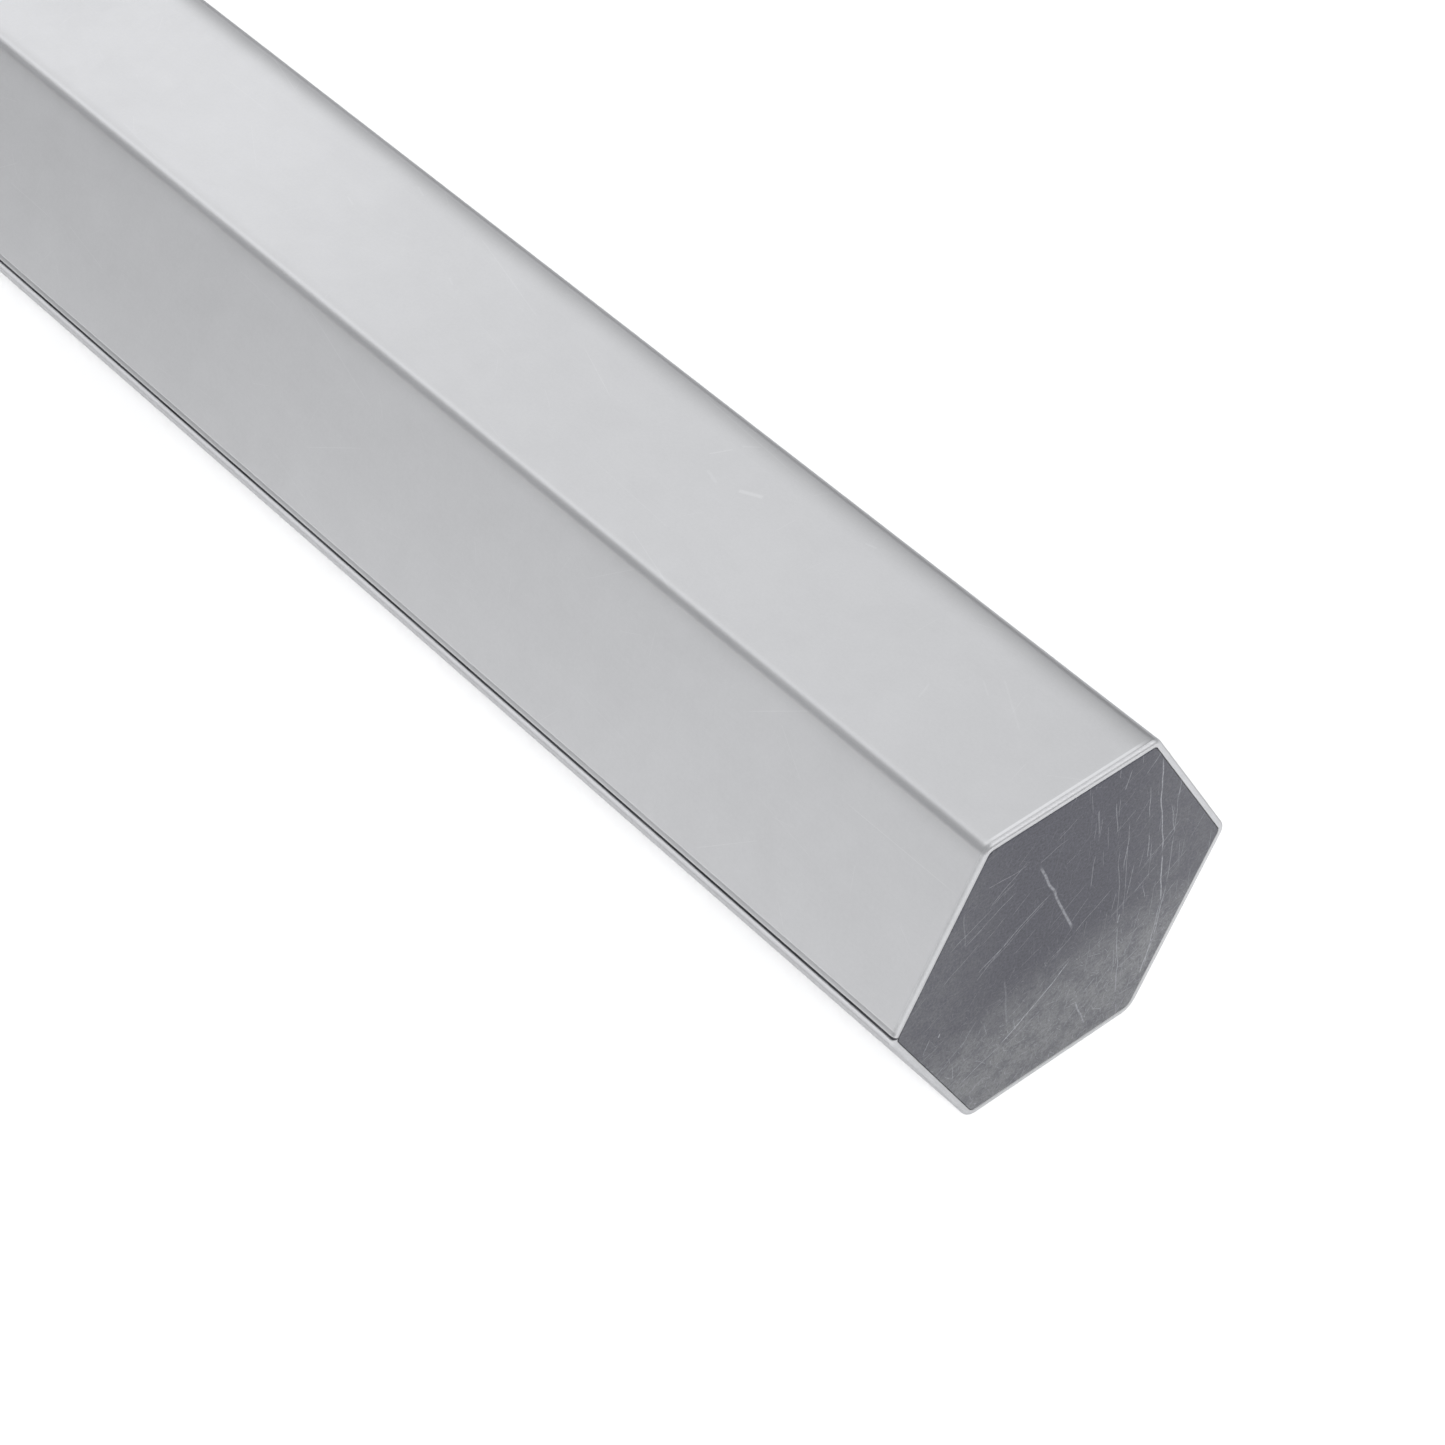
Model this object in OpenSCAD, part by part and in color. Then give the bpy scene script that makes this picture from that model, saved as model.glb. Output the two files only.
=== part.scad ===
// Hexagonal barrel: sheet shell with a closed end, rubber liner, and a lid held by six thumb nuts.
// The barrel's axis runs along X, the closed end is at +X, and it lies on one flat at z = 0.

/* [Shell] */
// distance across the shell's flats
across_flats = 100; // [90:1:120]
// length of the shell along its axis
shell_length = 500; // [480:1:700]
// thickness of the shell's sheet
wall = 2; // [1.5:0.1:3]
// outside radius of the shell's six long bends
bend_radius = 4; // [3:0.1:6]
// bevel round the rim of the closed end and of the lid plate
rim_bevel = 1; // [0.4:0.1:1.4]
// width of the seam where the sheet's two edges meet, along the bend at -Y
sheet_seam_width = 0.7; // [0.2:0.1:0.8]
// depth of that seam
sheet_seam_depth = 0.8; // [0.3:0.1:1]
// angle of that seam above the middle of its bend
sheet_seam_angle = 21; // [0:1:24]

/* [Closed end] */
// thickness of the plate in the closed end
end_plate_thickness = 4; // [3:0.5:8]
// bevel that leaves a seam between the plate and the shell
seam_bevel = 0.3; // [0.1:0.1:0.6]

/* [Mouth ring] */
// thickness of the ring in the open end
ring_thickness = 12; // [10:0.5:20]
// radius of the opening through the ring
ring_opening_radius = 38; // [36:0.5:39]

/* [Liner] */
// thickness of the liner's walls and bottom
liner_wall = 6; // [4:0.5:8]
// inside radius of the liner's long corners
liner_corner_radius = 8; // [4:0.5:12]
// radius of the hole through the liner's neck
neck_radius = 34; // [32:0.5:35]

/* [Gasket] */
// thickness of the gasket between ring and lid
gasket_thickness = 2; // [1.5:0.1:4]
// distance across the gasket's flats
gasket_flats = 97; // [90:0.5:99]
// radius of the hole through the gasket
gasket_opening_radius = 35; // [34:0.5:37]

/* [Lid] */
// thickness of the lid plate
lid_thickness = 6; // [5:0.5:10]
// gap between the gasket and the lid plate at rest
lid_gap = 0.3; // [0.2:0.05:0.5]
// radius of the rubber pad that plugs the neck
pad_radius = 33.6; // [31:0.1:34.6]
// thickness of the rubber pad
pad_thickness = 8; // [6:0.5:12]
// radius of the disc that clamps the pad
clamp_disc_radius = 29; // [24:0.5:31]
// thickness of the disc that clamps the pad
clamp_disc_thickness = 2.5; // [2:0.5:5]

/* [Studs and thumb nuts] */
// distance from the barrel's axis to each stud's axis
stud_circle_radius = 46; // [45:0.1:47]
// radius of each stud, for an M6 thread
stud_radius = 3; // [2.5:0.1:3.5]
// depth of each stud in the ring
stud_depth = 10; // [8:0.5:11]
// length of each stud beyond its nut
stud_tip = 3; // [2:0.5:6]
// radial gap between stud and lid plate
stud_hole_gap = 0.3; // [0.2:0.05:0.6]
// outside radius of each washer
washer_radius = 7.5; // [6:0.1:8]
// thickness of each washer
washer_thickness = 1.6; // [1:0.1:2]
// radial gap between stud and washer
washer_hole_gap = 0.2; // [0.1:0.05:0.4]
// gap left at rest on each side of a washer
stack_gap = 0.2; // [0.1:0.05:0.3]
// radius of a nut's gripping head
nut_radius = 9; // [8:0.1:9.5]
// length of a nut's gripping head
nut_head = 7; // [5:0.5:9]
// radius of a nut's collar
nut_collar_radius = 6; // [5:0.1:7]
// length of a nut's collar
nut_collar = 3; // [2:0.5:4]
// radial gap between stud and nut, in place of the thread
nut_bore_gap = 0.06; // [0.02:0.01:0.1]
// number of gripping grooves round a nut
groove_count = 18; // [12:1:24]
// depth of each groove
groove_depth = 0.7; // [0.4:0.1:0.9]

/* [Folding pull] */
// radius of the pull's rod
pull_rod_radius = 2; // [1.5:0.1:2.5]
// distance from the pull's pivot to its cross bar
pull_drop = 26; // [22:0.5:28]
// distance from the middle to each arm of the pull
pull_half_width = 16.2; // [15.5:0.1:18]
// height of the pivot above the lid plate
pivot_height = 7; // [6:0.5:8]
// radial gap between the pull's ends and the ears
pivot_gap = 0.06; // [0.02:0.01:0.1]
// thickness of the bracket's foot
bracket_foot = 2; // [1.5:0.1:3]
// half the length of the bracket's foot
bracket_half_length = 13; // [12:0.5:16]
// thickness of each ear of the bracket
ear_thickness = 3; // [2:0.1:3.5]
// distance from the middle to the inside of each ear
ear_inside = 8.2; // [7.8:0.1:8.6]
// radius of the rounded top of each ear
ear_radius = 5; // [4:0.1:5.5]

/* [Small screws] */
// radius of the screws' shanks
screw_radius = 2; // [1.5:0.1:2.5]
// radius of the screws' heads
screw_head_radius = 3.5; // [3:0.1:4]
// thickness of the screws' heads
screw_head = 2.2; // [1.5:0.1:2.5]
// depth of the screws in the lid plate
screw_depth = 4; // [3:0.1:4.5]
// radius of the hexagonal key's socket in each head
socket_radius = 1.6; // [1:0.1:2]
// depth of the socket in each head
socket_depth = 1.2; // [0.6:0.1:1.4]
// distance from the axis to the clamp disc's screws
disc_screw_circle = 20; // [16:0.5:24]
// distance from the axis to the bracket's screws
bracket_screw_offset = 8.5; // [8:0.1:9]

/* [Hidden] */
$fn = 64;
corner_step = 60;
half_step = corner_step / 2;
corners = [0 : corner_step : 300];
eps_cut = 1;
axis_z = across_flats / 2;
inner_flats = across_flats - 2 * wall;
inner_bend = bend_radius - wall;
bend_centre = (across_flats / 2 - bend_radius) / cos(half_step);
liner_flats = inner_flats - 2 * liner_wall;
// distances outward from the shell's mouth, towards -X
lid_inner = gasket_thickness + lid_gap;
lid_outer = lid_inner + lid_thickness;
washer_inner = lid_outer + stack_gap;
nut_inner = washer_inner + washer_thickness + stack_gap;
nut_outer = nut_inner + nut_collar + nut_head;
stud_end = nut_outer + stud_tip;
pad_end = pad_thickness - lid_inner;
disc_end = pad_end + clamp_disc_thickness;
pivot_out = lid_outer + pivot_height;
x_mouth = -shell_length / 2 + stud_end / 2;
x_end = x_mouth + shell_length;
x_plate = x_end - end_plate_thickness;
x_liner = x_mouth + ring_thickness;
nut_edge = 0.8;
groove_overrun = 0.3;
rod_turn = 4;
rod_corner = 6;
pull_end = 7.6;
ear_half_width = 5;
gasket_corner = 3;
disc_angles = [90, 210, 330];

// Puts a shape drawn in the plane Y-Z, and its height, along +X from x.
module along_x(x) {
    translate([x, 0, axis_z]) rotate([90, 0, 90]) children();
}

// Puts a shape drawn outward from the mouth, its height along -X, keeping Z up.
module outward(out) {
    translate([x_mouth - out, 0, axis_z]) rotate([90, 0, -90]) children();
}

// Hexagon with rounded corners, a corner on its first axis and flats above and below.
module rounded_hexagon(flats, r) {
    reach = (flats / 2 - r) / cos(half_step);
    polygon([for (a = corners, s = [-half_step, half_step])
        [reach * cos(a) + r * cos(a + s), reach * sin(a) + r * sin(a + s)]]);
    for (a = corners) rotate(a) translate([reach, 0]) circle(r = r);
}

// Wedges that bevel the six edges of a hexagonal face at height h.
module rim_cutters(flats, h, bevel) {
    side = bevel * sqrt(2);
    for (a = corners) rotate(a + half_step) translate([flats / 2, 0, h])
        rotate([0, 45, 0]) cube([side, flats, side], center = true);
}

module shell() {
    color([0.80, 0.81, 0.81]) along_x(x_mouth) difference() {
        linear_extrude(shell_length) difference() {
            rounded_hexagon(across_flats, bend_radius);
            rounded_hexagon(inner_flats, inner_bend);
        }
        rim_cutters(across_flats, shell_length, rim_bevel);
        translate([-bend_centre, 0, -eps_cut]) rotate(180 - sheet_seam_angle)
            translate([bend_radius - sheet_seam_depth, -sheet_seam_width / 2, 0])
                cube([sheet_seam_depth + eps_cut, sheet_seam_width, shell_length + 2 * eps_cut]);
    }
}

module end_plate() {
    color([0.38, 0.38, 0.41]) along_x(x_plate) difference() {
        linear_extrude(end_plate_thickness) rounded_hexagon(inner_flats, inner_bend);
        rim_cutters(inner_flats, end_plate_thickness, seam_bevel);
    }
}

module mouth_ring() {
    color([0.66, 0.67, 0.68]) along_x(x_mouth) difference() {
        linear_extrude(ring_thickness) rounded_hexagon(inner_flats, inner_bend);
        translate([0, 0, -eps_cut]) cylinder(r = ring_opening_radius, h = ring_thickness + 2 * eps_cut);
        for (a = corners) rotate(a) translate([stud_circle_radius, 0, -eps_cut])
            cylinder(r = stud_radius, h = stud_depth + eps_cut);
    }
}

module lid_studs() {
    color([0.70, 0.71, 0.72]) for (a = corners) outward(-stud_depth)
        rotate(a) translate([stud_circle_radius, 0, 0]) {
            cylinder(r = stud_radius, h = stud_depth + stud_end - eps_cut);
            translate([0, 0, stud_depth + stud_end - eps_cut])
                cylinder(r1 = stud_radius, r2 = stud_radius - eps_cut, h = eps_cut);
        }
}

module rubber_liner() {
    color([0.09, 0.09, 0.10]) difference() {
        union() {
            along_x(x_liner) linear_extrude(x_plate - x_liner) rounded_hexagon(inner_flats, inner_bend);
            along_x(x_mouth) cylinder(r = ring_opening_radius, h = ring_thickness);
        }
        along_x(x_liner + liner_wall) linear_extrude(x_plate - x_liner - 2 * liner_wall)
            rounded_hexagon(liner_flats, liner_corner_radius);
        along_x(x_mouth - eps_cut) cylinder(r = neck_radius, h = ring_thickness + liner_wall + 2 * eps_cut);
    }
}

module lid_gasket() {
    color([0.13, 0.13, 0.14]) outward(0) difference() {
        linear_extrude(gasket_thickness) rounded_hexagon(gasket_flats, gasket_corner);
        translate([0, 0, -eps_cut]) cylinder(r = gasket_opening_radius, h = gasket_thickness + 2 * eps_cut);
        for (a = corners) rotate(a) translate([stud_circle_radius, 0, -eps_cut])
            cylinder(r = stud_radius + stud_hole_gap, h = gasket_thickness + 2 * eps_cut);
    }
}

module lid_plate() {
    color([0.78, 0.79, 0.79]) outward(lid_inner) difference() {
        linear_extrude(lid_thickness) rounded_hexagon(across_flats, bend_radius);
        rim_cutters(across_flats, lid_thickness, rim_bevel);
        for (a = corners) rotate(a) translate([stud_circle_radius, 0, -eps_cut])
            cylinder(r = stud_radius + stud_hole_gap, h = lid_thickness + 2 * eps_cut);
        for (a = disc_angles) rotate(a) translate([disc_screw_circle, 0, -eps_cut])
            cylinder(r = screw_radius, h = screw_depth + eps_cut);
        for (s = [-1, 1]) translate([0, s * bracket_screw_offset, lid_thickness - screw_depth])
            cylinder(r = screw_radius, h = screw_depth + eps_cut);
    }
}

module lid_pad() {
    color([0.11, 0.11, 0.12]) outward(-pad_end) difference() {
        cylinder(r = pad_radius, h = pad_thickness);
        for (a = disc_angles) rotate(a) translate([disc_screw_circle, 0, -eps_cut])
            cylinder(r = screw_radius, h = pad_thickness + 2 * eps_cut);
    }
}

module clamp_disc() {
    color([0.72, 0.73, 0.74]) outward(-disc_end) difference() {
        cylinder(r = clamp_disc_radius, h = clamp_disc_thickness);
        for (a = disc_angles) rotate(a) translate([disc_screw_circle, 0, -eps_cut])
            cylinder(r = screw_radius, h = clamp_disc_thickness + 2 * eps_cut);
    }
}

// Socket screw whose head sits on z = 0 and whose shank goes down.
module socket_screw(shank) {
    difference() {
        union() {
            cylinder(r = screw_head_radius, h = screw_head);
            translate([0, 0, -shank]) cylinder(r = screw_radius, h = shank + eps_cut);
        }
        translate([0, 0, screw_head - socket_depth])
            cylinder(r = socket_radius, h = socket_depth + eps_cut, $fn = 6);
    }
}

module disc_screws() {
    color([0.60, 0.61, 0.62]) for (a = disc_angles) outward(-disc_end) mirror([0, 0, 1])
        rotate(a) translate([disc_screw_circle, 0, 0])
            socket_screw(clamp_disc_thickness + pad_thickness + screw_depth);
}

module pull_bracket() {
    ear_top = pivot_height;
    color([0.74, 0.75, 0.76]) outward(lid_outer) difference() {
        union() {
            translate([-ear_inside - ear_thickness, -bracket_half_length, 0])
                cube([2 * (ear_inside + ear_thickness), 2 * bracket_half_length, bracket_foot]);
            for (x = [-ear_inside - ear_thickness, ear_inside]) {
                translate([x, -ear_half_width, 0]) cube([ear_thickness, 2 * ear_half_width, ear_top]);
                translate([x, 0, ear_top]) rotate([0, 90, 0]) cylinder(r = ear_radius, h = ear_thickness);
            }
        }
        translate([-ear_inside - ear_thickness - eps_cut, 0, pivot_height]) rotate([0, 90, 0])
            cylinder(r = pull_rod_radius + pivot_gap, h = 2 * (ear_inside + ear_thickness + eps_cut));
        for (s = [-1, 1]) translate([0, s * bracket_screw_offset, -eps_cut])
            cylinder(r = screw_radius, h = bracket_foot + 2 * eps_cut);
    }
}

module bracket_screws() {
    color([0.60, 0.61, 0.62]) for (s = [-1, 1]) outward(lid_outer + bracket_foot)
        translate([0, s * bracket_screw_offset, 0]) socket_screw(bracket_foot + screw_depth);
}

// One side of the pull, drawn hanging from its pivot, the pivot along the first axis.
module half_pull() {
    turn_x = pull_half_width - rod_turn;
    corner_x = pull_half_width - rod_corner;
    translate([pull_end, 0, 0]) rotate([0, 90, 0]) cylinder(r = pull_rod_radius, h = turn_x - pull_end);
    translate([turn_x, -rod_turn, 0]) rotate_extrude(angle = 90)
        translate([rod_turn, 0]) circle(r = pull_rod_radius);
    translate([pull_half_width, -pull_drop + rod_corner, 0]) rotate([-90, 0, 0])
        cylinder(r = pull_rod_radius, h = pull_drop - rod_corner - rod_turn);
    translate([corner_x, -pull_drop + rod_corner, 0]) rotate([0, 0, -90]) rotate_extrude(angle = 90)
        translate([rod_corner, 0]) circle(r = pull_rod_radius);
    translate([0, -pull_drop, 0]) rotate([0, 90, 0]) cylinder(r = pull_rod_radius, h = corner_x);
}

module folding_pull() {
    color([0.74, 0.75, 0.76]) outward(pivot_out) {
        half_pull();
        mirror([1, 0, 0]) half_pull();
    }
}

module washer(n) {
    color([0.76, 0.77, 0.78]) outward(washer_inner) rotate(corner_step * (n - 1))
        translate([stud_circle_radius, 0, 0]) difference() {
            cylinder(r = washer_radius, h = washer_thickness);
            translate([0, 0, -eps_cut])
                cylinder(r = stud_radius + washer_hole_gap, h = washer_thickness + 2 * eps_cut);
        }
}

module thumb_nut(n) {
    straight = nut_head - 2 * nut_edge;
    color([0.58, 0.59, 0.60]) outward(nut_inner) rotate(corner_step * (n - 1))
        translate([stud_circle_radius, 0, 0]) difference() {
            union() {
                cylinder(r = nut_collar_radius, h = nut_collar + nut_edge);
                translate([0, 0, nut_collar])
                    cylinder(r1 = nut_radius - nut_edge, r2 = nut_radius, h = nut_edge);
                translate([0, 0, nut_collar + nut_edge]) cylinder(r = nut_radius, h = straight);
                translate([0, 0, nut_collar + nut_head - nut_edge])
                    cylinder(r1 = nut_radius, r2 = nut_radius - nut_edge, h = nut_edge);
            }
            for (i = [1 : groove_count]) rotate(i * 360 / groove_count)
                translate([nut_radius - groove_depth, 0, nut_collar - eps_cut])
                    linear_extrude(nut_head + 2 * eps_cut) polygon([[0, 0],
                        [groove_depth + groove_overrun, groove_depth + groove_overrun],
                        [groove_depth + groove_overrun, -groove_depth - groove_overrun]]);
            translate([0, 0, -eps_cut])
                cylinder(r = stud_radius + nut_bore_gap, h = nut_collar + nut_head + 2 * eps_cut);
        }
}

module washer_1() { washer(1); }
module washer_2() { washer(2); }
module washer_3() { washer(3); }
module washer_4() { washer(4); }
module washer_5() { washer(5); }
module washer_6() { washer(6); }
module thumb_nut_1() { thumb_nut(1); }
module thumb_nut_2() { thumb_nut(2); }
module thumb_nut_3() { thumb_nut(3); }
module thumb_nut_4() { thumb_nut(4); }
module thumb_nut_5() { thumb_nut(5); }
module thumb_nut_6() { thumb_nut(6); }

shell();
end_plate();
mouth_ring();
lid_studs();
rubber_liner();
lid_gasket();
lid_plate();
lid_pad();
clamp_disc();
disc_screws();
pull_bracket();
bracket_screws();
folding_pull();
washer_1();
washer_2();
washer_3();
washer_4();
washer_5();
washer_6();
thumb_nut_1();
thumb_nut_2();
thumb_nut_3();
thumb_nut_4();
thumb_nut_5();
thumb_nut_6();
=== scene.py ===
import math

import bmesh
import bpy
from mathutils import Matrix, Vector, noise


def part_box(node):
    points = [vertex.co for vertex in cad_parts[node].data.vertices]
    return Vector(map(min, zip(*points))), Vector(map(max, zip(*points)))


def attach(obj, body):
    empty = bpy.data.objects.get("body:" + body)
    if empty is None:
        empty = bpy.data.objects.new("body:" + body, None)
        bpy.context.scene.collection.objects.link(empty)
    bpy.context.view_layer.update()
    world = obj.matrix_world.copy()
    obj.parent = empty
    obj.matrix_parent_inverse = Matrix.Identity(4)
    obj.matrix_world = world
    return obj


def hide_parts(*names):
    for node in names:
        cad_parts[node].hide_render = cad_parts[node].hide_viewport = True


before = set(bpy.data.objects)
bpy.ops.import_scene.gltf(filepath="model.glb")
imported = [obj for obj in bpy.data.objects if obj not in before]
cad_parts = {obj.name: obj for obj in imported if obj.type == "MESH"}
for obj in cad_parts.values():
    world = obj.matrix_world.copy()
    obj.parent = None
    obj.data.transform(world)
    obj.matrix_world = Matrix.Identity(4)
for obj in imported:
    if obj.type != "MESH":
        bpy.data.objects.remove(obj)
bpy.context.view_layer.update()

# Places are read from the CAD and are in metres. Sizes are in millimetres, as in the design.
MM = 0.001
shell_low, shell_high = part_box("shell")
X_MOUTH, X_END = shell_low.x, shell_high.x
AXIS = (shell_low.z + shell_high.z) / 2
FLATS = (shell_high.z - shell_low.z) / MM
LENGTH = (X_END - X_MOUTH) / MM
# how thick the end plate, the sheet, the mouth ring and the liner are
PLATE = (X_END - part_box("end_plate")[0].x) / MM
WALL, RING, LINER_WALL = 2.0, 12.0, 6.0
# the angle of one side of a hexagon seen from its middle, and half of it
SIDE, HALF_SIDE = math.radians(60), math.radians(30)


# ---------------------------------------------------------------- shapes

# Round the hexagon, from the corner at +Y towards +Z. Over each bend: the angle in degrees, and the
# share of the seam's depth there. Across each flat: the share of it that is left before the next
# bend, and the share of the scored line's depth. Both kinds of flat have the same number of points,
# which SEAM_START counts on.
PLAIN_BEND = [(a, 0.0) for a in range(-30, 31, 5)]
SEAM_BEND = [(-30, 0), (-28.4, 0), (-27.4, 0.05), (-26.4, 0.35), (-26.0, 1), (-14.8, 1), (-14.4, 0.35),
             (-13.4, 0.06), (-12.4, 0), (-8, 0), (0, 0), (8, 0), (15, 0), (22, 0), (30, 0)]
BENDS = [PLAIN_BEND, PLAIN_BEND, PLAIN_BEND, SEAM_BEND, PLAIN_BEND, PLAIN_BEND]
PLAIN_FLAT = [(0.995, 0), (0.98, 0), (0.96, 0), (0.93, 0), (0.9, 0), (0.86, 0), (0.7, 0), (0.5, 0),
              (0.3, 0), (0.1, 0), (0.03, 0), (0.005, 0)]
SCORED_FLAT = PLAIN_FLAT[:7] + [(0.4, 0), (0.028, 0), (0.026, 0), (0.021, 1), (0.016, 0)]
FLATS_ACROSS = [PLAIN_FLAT, PLAIN_FLAT, SCORED_FLAT, PLAIN_FLAT, PLAIN_FLAT, PLAIN_FLAT]
# the first point of the seam's bend, the points that bound its bed, and its depth, with the scored
# line's as a share of it
SEAM_START = 3 * (len(PLAIN_BEND) + len(PLAIN_FLAT))
SEAM_BED = (SEAM_START + 3, SEAM_START + 6)
SEAM_DEEP, SCORE_SHARE = 0.75, 0.1
SMALLEST_BEND = 0.35


def hexagon(flats, radii, inset=0.0, groove=0.0, radial=None):
    """Points (y, z) of a hexagon with rounded corners, in millimetres from the axis.

    inset moves every side inwards, groove is the depth of the seam near -Y, and radial, a radius,
    moves every point to that circle along the line from the axis."""
    half = flats / 2
    points = []
    for k, spans in enumerate(BENDS):
        corner = SIDE * k
        r = max(radii[k] - inset, SMALLEST_BEND)
        reach = (half - inset - r) / math.cos(HALF_SIDE)
        cy, cz = reach * math.cos(corner), reach * math.sin(corner)
        for step, depth in spans:
            a = corner + math.radians(step)
            rr = r - groove * depth
            points.append((cy + rr * math.cos(a), cz + rr * math.sin(a)))
        # the flat up to the next bend, with points close to each end so that it shades flat
        after = (k + 1) % 6
        nr = max(radii[after] - inset, SMALLEST_BEND)
        nreach = (half - inset - nr) / math.cos(HALF_SIDE)
        a = corner + HALF_SIDE
        ny = nreach * math.cos(SIDE * after) + nr * math.cos(a)
        nz = nreach * math.sin(SIDE * after) + nr * math.sin(a)
        py, pz = points[-1]
        for left, depth in FLATS_ACROSS[k]:
            dy, dz = (-SCORE_SHARE * groove * depth * v for v in (math.cos(a), math.sin(a)))
            points.append((ny + (py - ny) * left + dy, nz + (pz - nz) * left + dz))
    if radial is not None:
        points = [(radial * y / math.hypot(y, z), radial * z / math.hypot(y, z)) for y, z in points]
    return points


# how much painted shade, or below zero painted highlight, the sheet gets across the crease between
# the top and left flats, every 5 degrees
CREASE_SHADING = [0.0, -0.01, -0.06, -0.13, -0.12, -0.05, -0.09, -0.16, -0.18, -0.16, -0.08, 0.0, 0.08]
# past each bend, how much painted shade at most and for how many millimetres, by corner
PAST_BEND_SHADE = {1: (0.3, 8.0), 2: (0.11, 5.0)}
PAST_OTHER_BENDS_SHADE = (0.15, 4.5)


def painted_bend_shading(radii):
    """For each point of a hexagon, its painted shade, below zero painted highlight: most shade just past
    each bend.
    """
    out = []
    for k, spans in enumerate(BENDS):
        most, reach = PAST_BEND_SHADE.get(k, PAST_OTHER_BENDS_SHADE)
        flat = (FLATS - radii[k] - radii[(k + 1) % 6]) * math.tan(HALF_SIDE)
        out += CREASE_SHADING if k == 2 else [max(0.0, angle / 30) * most for angle, _ in spans]
        out += [most * max(0.0, 1 - (1 - left) * flat / reach) ** 2 for left, _ in FLATS_ACROSS[k]]
    return out


def girths(points):
    """How far round the hexagon each point is, in millimetres, and last the whole way round."""
    out, total = [0.0], 0.0
    for (y0, z0), (y1, z1) in zip(points, points[1:] + points[:1]):
        total += math.hypot(y1 - y0, z1 - z0)
        out.append(total)
    return out


def place(x, points):
    """The points of a hexagon in the frame, x in metres along the barrel."""
    return [Vector((x, y * MM, AXIS + z * MM)) for y, z in points]


def skin(loops, cyclic):
    """Vertices and faces through loops of matched points, capped unless the last meets the first."""
    m, n = len(loops), len(loops[0])
    verts = [p for loop in loops for p in loop]
    faces = []
    for i in range(m if cyclic else m - 1):
        a, b = i * n, ((i + 1) % m) * n
        faces += [(a + j, a + (j + 1) % n, b + (j + 1) % n, b + j) for j in range(n)]
    if not cyclic:
        faces.append(tuple(reversed(range(n))))
        faces.append(tuple(range((m - 1) * n, m * n)))
    return verts, faces


def solid(name, loops, sharp, cyclic=False):
    """A closed mesh through loops of matched points. Edges over sharp degrees stay crisp."""
    verts, faces = skin(loops, cyclic)
    return mesh_object(name, verts, faces, sharp)


def mesh_object(name, verts, faces, sharp):
    mesh = bpy.data.meshes.new(name)
    mesh.from_pydata([tuple(v) for v in verts], [], faces)
    bm = bmesh.new()
    bm.from_mesh(mesh)
    bmesh.ops.recalc_face_normals(bm, faces=bm.faces)
    bm.to_mesh(mesh)
    bm.free()
    mesh.shade_smooth()
    mesh.set_sharp_from_angle(angle=math.radians(sharp))
    obj = bpy.data.objects.new(name, mesh)
    bpy.context.scene.collection.objects.link(obj)
    return obj


def joined(name, parts, sharp):
    """One mesh from several (verts, faces) lists."""
    verts, faces = [], []
    for v, f in parts:
        base = len(verts)
        verts += v
        faces += [tuple(base + i for i in face) for face in f]
    return mesh_object(name, verts, faces, sharp)


def quarter(steps):
    """Angles of a quarter turn in equal steps, without the first."""
    return [math.radians(90 * i / steps) for i in range(1, steps + 1)]


# ---------------------------------------------------------------- shell

# looking at the closed end, the lower right bend is rounder than the rest, and the lower left one a
# little
SHELL_RADII = [4.0, 4.0, 4.0, 4.0, 4.6, 6.0]
# the rounding of the closed end's rim: how far along the barrel it runs, how far in, and from which
# inset it starts
RIM_LONG, RIM_DEEP, RIM_FIRST = 1.35, 1.0, 0.02
# the lip before it: how far back from the end, and how high
LIP = [(4.0, 0.0), (3.0, 0.0), (2.6, 0.003), (2.2, 0.014), (1.9, 0.024), (1.6, 0.03), (1.35, 0.03)]
ROWS_ALONG = 64
# the seam runs over the rim down to this inset
SEAM_INSET = 1.4
# rolled sheet is never quite flat: it dips inwards by so much, give or take, clear of both ends
DIP, DIP_CHANGE = 0.05, 0.02
DIP_FROM_MOUTH, DIP_FROM_END = 1.0, 4.5
# how far apart the dips are along the barrel and round it, and which pattern of them it is
DIP_ALONG, DIP_ROUND, DIP_PATTERN = 60, 25, 3.1
# the shell's materials are the sheet, the rim and the seam, in that order
RIM_SLOT, SEAM_SLOT = 1, 2


def shell_profile():
    """Places along the barrel, how far each is inset, and whether it is on the rim."""
    edge, flat_end = 0.7, LIP[0][0]
    profile = [(0.0, 0.55, 0), (0.12, 0.22, 0), (0.35, 0.05, 0), (edge, 0.0, 0)]
    profile += [(edge + (LENGTH - flat_end - edge) * i / ROWS_ALONG, 0.0, 0) for i in range(1, ROWS_ALONG)]
    profile += [(LENGTH - back, DIP - lip, 0) for back, lip in LIP]
    profile += [(LENGTH - RIM_LONG * (1 - math.sin(t)),
                 RIM_FIRST + (RIM_DEEP - RIM_FIRST) * (1 - math.cos(t)), 1) for t in quarter(8)]
    profile += [(LENGTH, RIM_DEEP + 0.3, 1), (LENGTH, WALL - 0.3, 1), (LENGTH - 0.08, WALL - 0.1, 1),
                (LENGTH - 0.3, WALL, 1), (LENGTH - PLATE, WALL, 0), (LENGTH * 0.5, WALL, 0),
                (RING, WALL, 0), (0.35, WALL, 0), (0.1, WALL - 0.1, 0), (0.0, WALL - 0.35, 0)]
    return profile


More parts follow.
